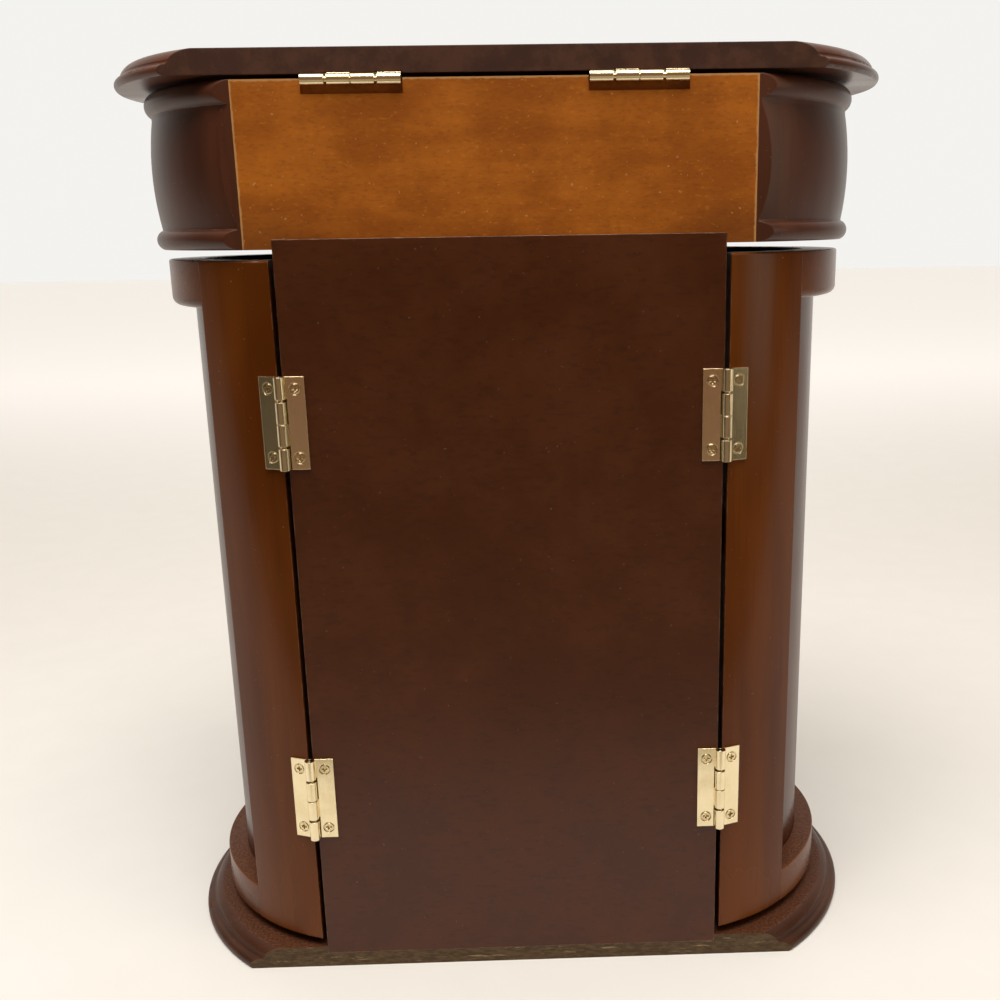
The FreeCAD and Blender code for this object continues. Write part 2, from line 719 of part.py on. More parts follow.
# Mirror under the lid, held by a rebated frame
FRAME_BACK = BOARD_FRONT - dim.frame_setback
FRAME_FRONT = FRIEZE_FRONT + dim.frame_setback
MIRROR_HALF = BOARD_HALF - dim.mirror_inset
MIRROR_BACK = FRAME_BACK - dim.frame_rim
MIRROR_FRONT = FRAME_FRONT + dim.frame_rim
node("lid_mirror", box("lid_mirror", (-MIRROR_HALF, MIRROR_FRONT, LID_FOOT - dim.mirror_thick),
                       (MIRROR_HALF, MIRROR_BACK, LID_FOOT)))
frame_half = MIRROR_HALF + dim.frame_rim
frame_blank = box("frame_blank", (-frame_half, FRAME_FRONT, LID_FOOT - dim.frame_thick),
                  (frame_half, FRAME_BACK, LID_FOOT))
rebate_half = MIRROR_HALF + dim.joint_fit
frame_rebate = box("frame_rebate", (-rebate_half, MIRROR_FRONT - dim.joint_fit, LID_FOOT - dim.mirror_thick),
                   (rebate_half, MIRROR_BACK + dim.joint_fit, LID_FOOT + dim.overrun))
sight_half = MIRROR_HALF - dim.frame_lip
frame_sight = box("frame_sight", (-sight_half, MIRROR_FRONT + dim.frame_lip,
                                  LID_FOOT - dim.frame_thick - dim.overrun),
                  (sight_half, MIRROR_BACK - dim.frame_lip, LID_FOOT))
node("lid_mirror_frame", cut("lid_mirror_frame", frame_blank, frame_rebate, frame_sight))

# Lid hinges: one leaf seats on the back board, the other under the lid
box_leaf = hinge_leaf("box_leaf", LID_PIN_Z - BOX_LEAF_FOOT)
lid_leaf = hinge_leaf("lid_leaf", LID_LEAF_HEAD - LID_PIN_Z)
BOX_LEAF_TURN = FreeCAD.Rotation(vector(0, -1, 0), vector(0, 0, 1), vector(-1, 0, 0), "XYZ")
LID_LEAF_TURN = FreeCAD.Rotation(vector(0, -1, 0), vector(0, 0, -1), vector(1, 0, 0), "XYZ")
HEAD_DOWN = FreeCAD.Rotation(vector(1, 0, 0), HALF_TURN)
fixed_leaves = []
lid_leaves = []
lid_pins = []
fixed_screws = []
lid_screws = []
for side in (-1, 1):
    at = (side * LID_HINGE_X, LID_PIN_Y, LID_PIN_Z)
    fixed_leaves.append(leaf_copy("lid_fixed_leaf_%d" % (side + 1), box_leaf, at, BOX_LEAF_TURN))
    lid_leaves.append(leaf_copy("lid_moving_leaf_%d" % (side + 1), lid_leaf, at, LID_LEAF_TURN))
    pin = doc.addObject("Part::Cylinder", "lid_pin_%d" % (side + 1))
    bind(pin, Radius=dim.hinge_pin_radius, Height=dim.hinge_length)
    lid_pins.append(place(pin, at[0] - dim.hinge_length / 2, LID_PIN_Y, LID_PIN_Z,
                          turn=QUARTER_TURN, axis=(0, 1, 0)))
    for count, screw_x in enumerate(lid_screw_places(side)):
        name = "lid_screw_%d_%d" % (side + 1, count)
        fixed_screws.append(screw_copy("%s_fixed" % name,
                                       (screw_x, LID_SCREW_Y, BOX_LEAF_FOOT + dim.leaf_thick)))
        lid_screws.append(screw_copy("%s_moving" % name,
                                     (screw_x, LID_SCREW_Y, LID_LEAF_HEAD - dim.leaf_thick), HEAD_DOWN))
node("lid_hinge_fixed_leaves", group("lid_hinge_fixed_leaves", fixed_leaves))
node("lid_hinge_pins", group("lid_hinge_pins", lid_pins))
node("lid_hinge_fixed_screws", group("lid_hinge_fixed_screws", fixed_screws))
node("lid_hinge_moving_leaves", group("lid_hinge_moving_leaves", lid_leaves))
node("lid_hinge_moving_screws", group("lid_hinge_moving_screws", lid_screws))

# Side doors: bent stiles and rails round a thin bent panel that sits in grooves
DOOR_INSIDE = dim.door_radius - dim.door_thick
PANEL_OUTSIDE = dim.door_radius - dim.door_panel_recess
PANEL_INSIDE = PANEL_OUTSIDE - dim.door_panel_thick
GROOVE_ANGLE = arc_angle(dim.groove_depth, PANEL_OUTSIDE)
SIGHT_FOOT = DOOR_FOOT + dim.bottom_rail_height
SIGHT_HEAD = DOOR_HEAD - dim.top_rail_height


def bent(name, outside, inside, start, sweep, foot, head):
    """A bent board: a sector of a tube about the right end's centre."""
    at = (END_SPREAD, CENTRE, foot)
    core = rod("%s_core" % name, (END_SPREAD, CENTRE, foot - dim.overrun), inside,
               head - foot + 2 * dim.overrun)
    return cut(name, rod("%s_outside" % name, at, outside, head - foot, start, sweep), core)


def groove(name):
    """The room of the bent panel, a joint fit wider than the panel."""
    reach = dim.stile_angle + GROOVE_ANGLE
    return bent(name, PANEL_OUTSIDE + dim.joint_fit, PANEL_INSIDE - dim.joint_fit, -reach, 2 * reach,
                SIGHT_FOOT - dim.groove_depth, SIGHT_HEAD + dim.groove_depth)


def edge_waste(name, level, radius, side):
    """What a round-over takes off an outer edge of the door: side is 1 for a head, -1 for a foot."""
    inner = dim.door_radius - radius
    outer = dim.door_radius + dim.overrun
    tangent = level - side * radius
    past = level + side * dim.overrun
    if side > 0:
        corners = [(inner, past), (inner, level, -radius), (dim.door_radius, tangent), (outer, tangent),
                   (outer, past)]
    else:
        corners = [(outer, past), (outer, tangent), (dim.door_radius, tangent, -radius), (inner, level),
                   (inner, past)]
    return place(turned(name, corners), END_SPREAD, CENTRE, 0)


head_waste = edge_waste("door_head_waste", DOOR_HEAD, dim.door_edge_round, 1)
foot_waste = edge_waste("door_foot_waste", DOOR_FOOT, dim.door_edge_round, -1)
stile_sweep = QUARTER_TURN - dim.stile_angle
edge_room = box("door_edge_room", (0, CENTRE - FAR, 0), (DOOR_EDGE, CENTRE + FAR, BOX_HEAD))
DOOR_LEAF_TILT = dim.door_leaf_angle - QUARTER_TURN
leaf_across = sine(dim.door_leaf_angle)
leaf_along = cosine(dim.door_leaf_angle)
DOOR_LEAF_OFFSET = ((PIN_X - END_SPREAD) * leaf_along + (PIN_Y - CENTRE) * leaf_across
                    - dim.door_radius)
LEAF_FACE = dim.leaf_thick - DOOR_LEAF_OFFSET
DOOR_SCREW_X = PIN_X + dim.screw_setback * leaf_across + LEAF_FACE * leaf_along
DOOR_SCREW_Y = PIN_Y - dim.screw_setback * leaf_along + LEAF_FACE * leaf_across
INTO_STILE = FreeCAD.Rotation(vector(0, 0, 1), DOOR_LEAF_TILT.value).multiply(LEVEL_BACK)
stile_pilots = []
for count, height in enumerate(SCREW_HEIGHTS):
    at = (DOOR_SCREW_X - dim.screw_length * leaf_along,
          DOOR_SCREW_Y - dim.screw_length * leaf_across, height)
    stile_pilots.append(pilot("stile_pilot_%d" % count, at, dim.screw_length + dim.overrun, INTO_STILE))
both_sides("door_%s_back_stile",
           cut("back_stile", bent("back_stile_blank", dim.door_radius, DOOR_INSIDE, dim.stile_angle,
                                  stile_sweep, DOOR_FOOT, DOOR_HEAD), head_waste, foot_waste,
               edge_room, groove("back_stile_groove"), fuse("stile_pilots", *stile_pilots)))
both_sides("door_%s_front_stile",
           cut("front_stile", bent("front_stile_blank", dim.door_radius, DOOR_INSIDE, as_size(-QUARTER_TURN),
                                   stile_sweep, DOOR_FOOT, DOOR_HEAD), head_waste, foot_waste,
               edge_room, groove("front_stile_groove")))
top_sight_waste = edge_waste("top_sight_waste", SIGHT_HEAD, dim.top_rail_round, -1)
bottom_sight_waste = edge_waste("bottom_sight_waste", SIGHT_FOOT, dim.door_edge_round, 1)
for label, foot, head, wastes in (("top", SIGHT_HEAD, DOOR_HEAD, (head_waste, top_sight_waste)),
                                  ("bottom", DOOR_FOOT, SIGHT_FOOT, (foot_waste, bottom_sight_waste))):
    rail = bent("%s_rail_blank" % label, dim.door_radius, DOOR_INSIDE, -dim.stile_angle,
                2 * dim.stile_angle, foot, head)
    both_sides("door_%%s_%s_rail" % label,
               cut("%s_rail" % label, rail, *wastes, groove("%s_rail_groove" % label)))
panel_reach = dim.stile_angle + GROOVE_ANGLE - arc_angle(dim.joint_fit, PANEL_OUTSIDE)
panel_inset = dim.groove_depth - dim.joint_fit
both_sides("door_%s_panel", bent("door_panel", PANEL_OUTSIDE, PANEL_INSIDE, -panel_reach, 2 * panel_reach,
                                 SIGHT_FOOT - panel_inset, SIGHT_HEAD + panel_inset))

# Door hinges: fixed leaves on the back panel, moving leaves on the back stiles
panel_leaf = hinge_leaf("panel_leaf", dim.barrel_radius)
door_leaf = hinge_leaf("door_leaf", DOOR_LEAF_OFFSET)
TURNED_ABOUT = FreeCAD.Rotation(vector(0, 1, 0), HALF_TURN)
panel_leaves = []
door_leaves = []
door_pins = []
for count, height in enumerate(HINGE_HEIGHTS):
    at = (PIN_X, PIN_Y, height)
    panel_leaves.append(leaf_copy("panel_leaf_%d" % count, panel_leaf, at, TURNED_ABOUT))
    door_leaves.append(leaf_copy("door_leaf_%d" % count, door_leaf, at, turn=DOOR_LEAF_TILT))
    door_pins.append(rod("door_pin_%d" % count, (PIN_X, PIN_Y, height - dim.hinge_length / 2),
                         dim.hinge_pin_radius, dim.hinge_length))
panel_screws = []
door_screws = []
for count, height in enumerate(SCREW_HEIGHTS):
    panel_screws.append(screw_copy("panel_screw_%d" % count, (SCREW_X, BACK + dim.leaf_thick, height),
                                   LEVEL_BACK))
    door_screws.append(screw_copy("door_screw_%d" % count, (DOOR_SCREW_X, DOOR_SCREW_Y, height), INTO_STILE))


def fixed_pair(label, items):
    """One node for the like pieces of both doors that stay on the housing."""
    right = group("%s_right" % label, items)
    return node(label, group(label, [right, mirrored("%s_left" % label, right)]))


fixed_pair("door_hinge_fixed_leaves", panel_leaves)
fixed_pair("door_hinge_pins", door_pins)
fixed_pair("door_hinge_fixed_screws", panel_screws)
both_sides("door_%s_hinge_leaves", group("door_hinge_leaves", door_leaves))
both_sides("door_%s_hinge_screws", group("door_hinge_screws", door_screws))

# Magnetic catches on the side walls, each reaching to the inside of its front stile
catch_end = WALL_OUTSIDE + dim.catch_reach
catch_front = CENTRE - leg(DOOR_INSIDE, catch_end + dim.catch_clear - END_SPREAD)
catch_middle = DOOR_FOOT + dim.door_height / 2
catch = box("catch", (WALL_OUTSIDE, catch_front, catch_middle - dim.catch_height / 2),
            (catch_end, catch_front + dim.catch_depth, catch_middle + dim.catch_height / 2))
fixed_pair("door_catches", [catch])


# Turned knobs and necklace hooks
def knob(name):
    """A turned knob that stands on its foot, reaching along +Z."""
    rim = dim.knob_reach - swell(dim.knob_crown_round, 2 * dim.knob_radius)
    return turned(name, [(0, 0), (dim.knob_foot_radius, 0), (dim.knob_foot_radius, dim.knob_foot_rise),
                         (dim.knob_neck_radius, dim.knob_foot_rise),
                         (dim.knob_neck_radius, dim.knob_neck_rise),
                         (dim.knob_radius, rim, dim.knob_crown_round), (0, dim.knob_reach)])


def hook(name):
    """A brass peg with a foot and a rounded end, reaching along +Z."""
    ball_foot = dim.hook_reach - dim.hook_ball_length
    return turned(name, [(0, 0), (dim.hook_foot_radius, 0), (dim.hook_foot_radius, dim.hook_foot_thick),
                         (dim.hook_radius, dim.hook_foot_thick), (dim.hook_radius, ball_foot),
                         (dim.hook_ball_radius, ball_foot),
                         (dim.hook_ball_radius, dim.hook_reach - dim.hook_ball_ease),
                         (dim.hook_ball_radius - dim.hook_ball_ease, dim.hook_reach), (0, dim.hook_reach)])


KNOB_TURN = FreeCAD.Rotation(vector(0, 0, 1), -dim.door_knob_angle.value).multiply(
    FreeCAD.Rotation(vector(0, 1, 0), QUARTER_TURN))
door_knob = place(knob("door_knob"), END_SPREAD + dim.door_radius * cosine(dim.door_knob_angle),
                  CENTRE - dim.door_radius * sine(dim.door_knob_angle), DOOR_FOOT + dim.door_height / 2,
                  rotation=KNOB_TURN)
both_sides("door_%s_knob", door_knob)
hooks = []
for count in range(HOOK_COUNT):
    swing = (count - (HOOK_COUNT - 1) / 2) * dim.hook_step_angle
    seat = DOOR_INSIDE - dim.joint_fit
    turn = FreeCAD.Rotation(vector(0, 0, 1), swing.value).multiply(
        FreeCAD.Rotation(vector(0, 1, 0), -QUARTER_TURN))
    foot_drop = leg(seat, dim.hook_foot_radius)
    hooks.append(place(hook("hook_%d" % count), END_SPREAD + foot_drop * cosine(swing),
                       CENTRE + foot_drop * sine(swing), DOOR_HEAD - dim.hook_drop, rotation=turn))
both_sides("door_%s_necklace_hooks", group("necklace_hooks", hooks))

# Drawers: a front with eased edges, a box of four boards, a velvet lining and a knob
DRAWER_HALF = WALL_INSIDE - dim.drawer_side_clear
DRAWER_BACK = BOARD_BACK - dim.drawer_back_room
KNOB_FORWARD = FreeCAD.Rotation(vector(1, 0, 0), QUARTER_TURN)
for number in range(1, DRAWER_COUNT + 1):
    foot = dim.base_thick + (DRAWER_COUNT - number) * DRAWER_PITCH
    low = foot + dim.drawer_under_clear
    high = foot + DRAWER_ROOM - dim.drawer_head_room
    name = "drawer_%d" % number
    front_low = foot - dim.shelf_thick / 2 + dim.drawer_front_gap / 2
    front_high = foot + DRAWER_ROOM + dim.shelf_thick / 2 - dim.drawer_front_gap / 2
    if number == DRAWER_COUNT:
        front_low = foot + dim.drawer_front_gap / 2
    if number == 1:
        front_high = BOX_FOOT - dim.drawer_front_gap / 2
    half = DOOR_EDGE - dim.drawer_front_side_gap
    front = moulded("%s_front" % name, [(-half, front_low), (half, front_low), (half, front_high),
                                        (-half, front_high)], dim.drawer_front_thick)
    node("%s_front" % name, place(eased(front, (0, -1, 0), dim.drawer_front_round), 0, WALL_FRONT, 0))
    inner = DRAWER_HALF - dim.drawer_wood
    floor = low + dim.drawer_bottom_thick
    boards = [box("%s_side_%d" % (name, side + 1),
                  (side * (DRAWER_HALF - dim.drawer_wood / 2) - dim.drawer_wood / 2, WALL_FRONT, low),
                  (side * (DRAWER_HALF - dim.drawer_wood / 2) + dim.drawer_wood / 2, DRAWER_BACK, high))
              for side in (-1, 1)]
    boards.append(box("%s_back" % name, (-inner, DRAWER_BACK - dim.drawer_wood, low),
                      (inner, DRAWER_BACK, high)))
    boards.append(box("%s_bottom" % name, (-inner, WALL_FRONT, low),
                      (inner, DRAWER_BACK - dim.drawer_wood, floor)))
    node("%s_box" % name, group("%s_box" % name, boards))
    lining_half = inner - dim.lining_fit
    lining = moulded("%s_lining" % name, [(-lining_half, 0), (lining_half, 0),
                                          (lining_half, dim.lining_thick), (-lining_half, dim.lining_thick)],
                     DRAWER_BACK - dim.drawer_wood - WALL_FRONT - 2 * dim.lining_fit)
    node("%s_lining" % name, place(eased(lining, (0, 0, 1), dim.lining_round), 0,
                                   DRAWER_BACK - dim.drawer_wood - dim.lining_fit, floor))
    node("%s_knob" % name, place(knob("%s_knob" % name), 0, FRONT_FACE, (front_low + front_high) / 2,
                                 rotation=KNOB_FORWARD))

doc.recompute()
for item in doc.Objects:
    if "Invalid" in item.State or "Error" in item.State:
        raise SystemExit("%s failed: %s" % (item.Name, item.State))
os.makedirs("parts", exist_ok=True)
for item in nodes:
    if item.Shape.isNull() or not item.Shape.isValid() or not item.Shape.Solids:
        raise SystemExit("%s has no valid solid" % item.Label)
for item in nodes:
    item.Shape.exportStep("parts/%s.step" % item.Label)
print("%d nodes, %d solids" % (len(nodes), sum(len(item.Shape.Solids) for item in nodes)))
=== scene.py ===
import math

import bpy
from mathutils import Matrix, Vector, geometry


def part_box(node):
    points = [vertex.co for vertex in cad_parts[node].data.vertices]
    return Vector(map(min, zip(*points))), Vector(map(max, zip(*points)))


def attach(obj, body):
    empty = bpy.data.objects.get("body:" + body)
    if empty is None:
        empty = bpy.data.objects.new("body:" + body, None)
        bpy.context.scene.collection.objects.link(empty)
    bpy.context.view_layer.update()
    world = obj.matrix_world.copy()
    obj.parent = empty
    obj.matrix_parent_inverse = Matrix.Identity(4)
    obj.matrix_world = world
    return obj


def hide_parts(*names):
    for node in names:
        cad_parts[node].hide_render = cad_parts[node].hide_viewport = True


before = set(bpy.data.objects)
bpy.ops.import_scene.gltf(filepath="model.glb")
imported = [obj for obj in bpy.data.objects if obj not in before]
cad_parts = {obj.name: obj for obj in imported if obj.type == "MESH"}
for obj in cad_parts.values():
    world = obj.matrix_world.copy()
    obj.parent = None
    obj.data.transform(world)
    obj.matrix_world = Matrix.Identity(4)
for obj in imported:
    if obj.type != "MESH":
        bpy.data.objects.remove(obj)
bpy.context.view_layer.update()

# Base board
# A flat hardwood board with a stepped, rounded edge run round its two bowed ends and its front.
# Dark red-brown stain under lacquer, pale on the ridges, partly rubbed bare and partly a painted highlight,
# with a planed, scuffed back edge.


def shader_node(tree, kind, sockets=None, **settings):
    """One shader node, with its settings, and its sockets set to a value or joined to another node."""
    made = tree.nodes.new(kind)
    for setting, value in settings.items():
        setattr(made, setting, value)
    for socket, value in (sockets or {}).items():
        if isinstance(value, bpy.types.NodeSocket):
            tree.links.new(value, made.inputs[socket])
        else:
            made.inputs[socket].default_value = value
    return made


def noise(tree, vector, scale, detail=2.0, roughness=0.55):
    """Cloudy noise, its scale in turns to the metre."""
    sockets = {"Vector": vector, "Scale": scale, "Detail": detail, "Roughness": roughness}
    return shader_node(tree, "ShaderNodeTexNoise", sockets).outputs["Fac"]


def ramp(tree, value, start, end, low=0.0, high=1.0):
    """Value carried from the range start to end over to the range low to high, eased at both ends."""
    sockets = {"Value": value, "From Min": start, "From Max": end, "To Min": low, "To Max": high}
    return shader_node(tree, "ShaderNodeMapRange", sockets, interpolation_type="SMOOTHSTEP").outputs["Result"]


def reckon(tree, operation, first, second=0.0):
    """One sum on two numbers or sockets."""
    return shader_node(tree, "ShaderNodeMath", {0: first, 1: second}, operation=operation).outputs["Value"]


def tint(tree, share, first, second):
    """Two colours laid over each other by a share."""
    sockets = {0: share, 6: first, 7: second}
    return shader_node(tree, "ShaderNodeMix", sockets, data_type="RGBA").outputs[2]


def eased(tree, width):
    """The face's direction, rounded off near its edges."""
    return shader_node(tree, "ShaderNodeBevel", {"Radius": width}, samples=4).outputs["Normal"]


def raised(tree, shader, height, strength, distance, normal=None):
    """Lifts a shader's surface by a height, over a direction if one is given."""
    sockets = {"Height": height, "Strength": strength, "Distance": distance}
    if normal:
        sockets["Normal"] = normal
    tree.links.new(shader_node(tree, "ShaderNodeBump", sockets).outputs["Normal"], shader.inputs["Normal"])


def worn_and_highlit_edges(tree, place, width, breaks):
    """1 along the sharp edges of a solid, broken up in patches: partly edges worn by handling, partly a
    painted highlight.
    """
    plain = shader_node(tree, "ShaderNodeNewGeometry").outputs["Normal"]
    sockets = {0: eased(tree, width), 1: plain}
    alike = shader_node(tree, "ShaderNodeVectorMath", sockets, operation="DOT_PRODUCT").outputs["Value"]
    edge = ramp(tree, alike, 0.985, 0.86)
    patchy = ramp(tree, noise(tree, place, breaks, 4.0, 0.65), 0.42, 0.62)
    return reckon(tree, "MULTIPLY", edge, patchy)


def new_finish(name):
    """A fresh material with its node tree, its shader and the piece's own coordinates."""
    finish = bpy.data.materials.new(name)
    finish.use_nodes = True
    tree = finish.node_tree
    place = shader_node(tree, "ShaderNodeTexCoord").outputs["Object"]
    return finish, tree, tree.nodes["Principled BSDF"], place


def drawn_out(tree, place, along, stretch):
    """Coordinates drawn out along one axis, so that noise on them runs like grain."""
    scale = [1.0, 1.0, 1.0]
    scale["XYZ".index(along)] = stretch
    return shader_node(tree, "ShaderNodeMapping", {"Vector": place, "Scale": scale}).outputs["Vector"]


def faded(colour, share):
    """A colour brought down towards black."""
    return [share * part for part in colour[:3]] + [1.0]


def stained_wood(name, along, deep, ripe, wear_and_highlight=0.55, dull=0.30, gloss=0.36):
    """Hardwood under dark stain and lacquer, with faint grain along one axis, some dust, and pale edges that
    are partly rubbed bare and partly a painted highlight.
    """
    bare_wood_and_highlight = (0.30, 0.17, 0.10, 1.0)
    dust_grey = (0.42, 0.36, 0.30, 1.0)
    finish, tree, shader, place = new_finish(name)
    figure = noise(tree, drawn_out(tree, place, along, 0.10), 60.0, 3.0, 0.55)
    pores = noise(tree, drawn_out(tree, place, along, 0.03), 900.0, 2.0)
    cloud = noise(tree, drawn_out(tree, place, along, 0.35), 20.0, 3.0)
    tone = reckon(tree, "ADD", reckon(tree, "MULTIPLY", figure, 0.50), reckon(tree, "MULTIPLY", cloud, 0.50))
    stain = tint(tree, ramp(tree, tone, 0.30, 0.68), deep, ripe)
    stain = tint(tree, ramp(tree, pores, 0.56, 0.72, 0.0, 0.16), stain, faded(deep, 0.35))
    # Pale along the edges: partly wood rubbed bare, partly a painted highlight.
    edge = reckon(tree, "MULTIPLY", worn_and_highlit_edges(tree, place, 0.0006, 160.0), wear_and_highlight)
    stain = tint(tree, edge, stain, bare_wood_and_highlight)
    dust = ramp(tree, noise(tree, place, 900.0, 1.0), 0.76, 0.79, 0.0, 0.25)
    stain = tint(tree, dust, stain, dust_grey)
    tree.links.new(stain, shader.inputs["Base Color"])
    sheen = ramp(tree, cloud, 0.35, 0.65, dull - 0.04, dull + 0.06)
    tree.links.new(sheen, shader.inputs["Roughness"])
    raised(tree, shader, pores, 0.025, 0.0002, eased(tree, 0.0006))
    shader.inputs["Specular IOR Level"].default_value = gloss
    return finish


def bare_face(finish, axis, level, deep, ripe, fineness, share, stretch=1.0, scuffed=0.0):
    """Leaves the flat face at one level of a solid rough and mottled, where stain and lacquer lie thin.
    Scuffed is how strong the pale scratches on it are."""
    tree = finish.node_tree
    shader = tree.nodes["Principled BSDF"]
    place = shader_node(tree, "ShaderNodeTexCoord").outputs["Object"]
    along = shader_node(tree, "ShaderNodeSeparateXYZ", {"Vector": place}).outputs[axis]
    away = reckon(tree, "ABSOLUTE", reckon(tree, "SUBTRACT", along, level))
    bare = ramp(tree, away, 0.0003, 0.0001, 0.0, share)
    grit = noise(tree, drawn_out(tree, place, "X", stretch), fineness, 4.0, 0.7)
    raw = tint(tree, ramp(tree, grit, 0.40, 0.62), deep, ripe)
    scratches = noise(tree, drawn_out(tree, place, "X", 0.4 * stretch), 0.7 * fineness, 3.0, 0.7)
    raw = tint(tree, ramp(tree, scratches, 0.62, 0.70, 0.0, scuffed), raw, (0.46, 0.34, 0.20, 1.0))
    under = shader.inputs["Base Color"].links[0].from_socket
    tree.links.new(tint(tree, bare, under, raw), shader.inputs["Base Color"])
    sheen = shader.inputs["Roughness"].links[0].from_socket
    rough = reckon(tree, "ADD", sheen, reckon(tree, "MULTIPLY", bare, 0.3))
    tree.links.new(rough, shader.inputs["Roughness"])


def dress(finish, *names):
    """Puts a finish on carried-over solids."""
    for name in names:
        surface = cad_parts[name].data
        surface.materials.clear()
        surface.materials.append(finish)


deep_stain = (0.044, 0.0100, 0.0024, 1.0)
ripe_stain = (0.092, 0.0215, 0.0042, 1.0)
base_finish = stained_wood("base_stain", "X", (0.034, 0.0105, 0.0040, 1.0), (0.066, 0.0210, 0.0085, 1.0),
                           wear_and_highlight=0.9, dull=0.38, gloss=0.24)
base_back, base_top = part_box("base_board")[1].yz
rough_deep = (0.036, 0.0110, 0.0045, 1.0)
rough_ripe = (0.135, 0.0440, 0.0150, 1.0)
bare_face(base_finish, "Z", base_top, rough_deep, rough_ripe, 900.0, 0.70)
bare_face(base_finish, "Y", base_back, (0.062, 0.037, 0.016, 1.0), (0.108, 0.069, 0.033, 1.0), 900.0, 0.9,
          stretch=0.25, scuffed=0.6)
dress(base_finish, "base_board")

# Back panel
# A thin flat board, lapped over the base and the top box and fixed between the two doors.
# Even dark brown paint with a satin face, a faint weave of the board below, and pale edges that are partly
# rubbed and partly a painted highlight.
panel_finish, tree, shader, place = new_finish("back_panel_paint")
fibres = noise(tree, drawn_out(tree, place, "X", 0.35), 620.0, 3.0)
blotch = noise(tree, place, 26.0, 5.0, 0.65)
paint = tint(tree, ramp(tree, blotch, 0.34, 0.68), (0.056, 0.0122, 0.0012, 1.0), (0.074, 0.0170, 0.0018, 1.0))
paint = tint(tree, ramp(tree, fibres, 0.50, 0.70, 0.0, 0.45), paint, (0.034, 0.0080, 0.0014, 1.0))
specks = ramp(tree, noise(tree, place, 620.0, 2.0), 0.735, 0.77, 0.0, 0.28)
paint = tint(tree, specks, paint, (0.30, 0.22, 0.17, 1.0))
# Pale golden edges: partly rubbed paint, partly a painted highlight.
rub_and_highlight = reckon(tree, "MULTIPLY", worn_and_highlit_edges(tree, place, 0.0006, 210.0), 0.7)
tree.links.new(tint(tree, rub_and_highlight, paint, (0.34, 0.21, 0.13, 1.0)), shader.inputs["Base Color"])
tree.links.new(ramp(tree, blotch, 0.3, 0.7, 0.30, 0.40), shader.inputs["Roughness"])
shader.inputs["Specular IOR Level"].default_value = 0.38
raised(tree, shader, fibres, 0.06, 0.0002, eased(tree, 0.0005))
dress(panel_finish, "back_panel")

# Drawer housing
# Two upright side walls glued to the base, with three shelves let into them as drawer runners.
# The walls are stained like the doors on their show side; the shelves are thin clear-finished board.
wall_finish = stained_wood("wall_stain", "Z", deep_stain, ripe_stain, wear_and_highlight=0.35)
dress(wall_finish, "side_wall_left", "side_wall_right")


def plain_wood(name, along, deep, ripe):
    """Pale inside timber with a thin clear finish and open grain along one axis."""
    finish, tree, shader, place = new_finish(name)
    figure = noise(tree, drawn_out(tree, place, along, 0.06), 70.0, 5.0, 0.62)
    pores = noise(tree, drawn_out(tree, place, along, 0.025), 900.0, 2.0)
    timber = tint(tree, ramp(tree, figure, 0.32, 0.68), deep, ripe)
    timber = tint(tree, ramp(tree, pores, 0.58, 0.72, 0.0, 0.4), timber, faded(deep, 0.5))
    tree.links.new(timber, shader.inputs["Base Color"])
    tree.links.new(ramp(tree, pores, 0.3, 0.7, 0.42, 0.58), shader.inputs["Roughness"])
    raised(tree, shader, pores, 0.2, 0.0003)
    return finish


shelf_finish = plain_wood("shelf_timber", "X", (0.23, 0.105, 0.042, 1.0), (0.40, 0.215, 0.098, 1.0))
dress(shelf_finish, "drawer_shelves")

# Top box
# Two bent ends with bead, belly and torus run on them, a front board and a floor, all stained dark,
# closed at the back by a lighter flat board that shows its end edges between the cut ends.
frieze_finish = stained_wood("top_box_stain", "Z", (0.046, 0.0125, 0.0050, 1.0), (0.084, 0.0240, 0.0095, 1.0),
                             wear_and_highlight=0.5, dull=0.36)
dress(frieze_finish, "top_box_end_left", "top_box_end_right")
front_finish = stained_wood("top_box_front_stain", "X", deep_stain, ripe_stain, wear_and_highlight=0.5, dull=0.28)
dress(front_finish, "top_box_front", "tray_divider")
dress(shelf_finish, "top_box_floor")

board_finish, tree, shader, place = new_finish("back_board_stain")
figure = noise(tree, drawn_out(tree, place, "X", 0.22), 90.0, 5.0, 0.65)
fleck = noise(tree, drawn_out(tree, place, "X", 0.40), 1000.0, 3.0, 0.6)
mottle = noise(tree, place, 42.0, 3.0, 0.6)
tone = reckon(tree, "ADD", reckon(tree, "MULTIPLY", figure, 0.5), reckon(tree, "MULTIPLY", mottle, 0.5))
stain = tint(tree, ramp(tree, tone, 0.34, 0.66), (0.285, 0.076, 0.0050, 1.0), (0.44, 0.132, 0.0110, 1.0))
stain = tint(tree, ramp(tree, fleck, 0.52, 0.70, 0.0, 0.34), stain, (0.15, 0.040, 0.0060, 1.0))
stain = tint(tree, ramp(tree, fleck, 0.40, 0.28, 0.0, 0.30), stain, (0.60, 0.26, 0.050, 1.0))
board_low, board_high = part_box("top_box_back")
across = shader_node(tree, "ShaderNodeSeparateXYZ", {"Vector": place}).outputs
from_edge = reckon(tree, "SUBTRACT", board_high.x, reckon(tree, "ABSOLUTE", across["X"]))
from_top = reckon(tree, "SUBTRACT", board_high.z, across["Z"])
from_foot = reckon(tree, "SUBTRACT", across["Z"], board_low.z)
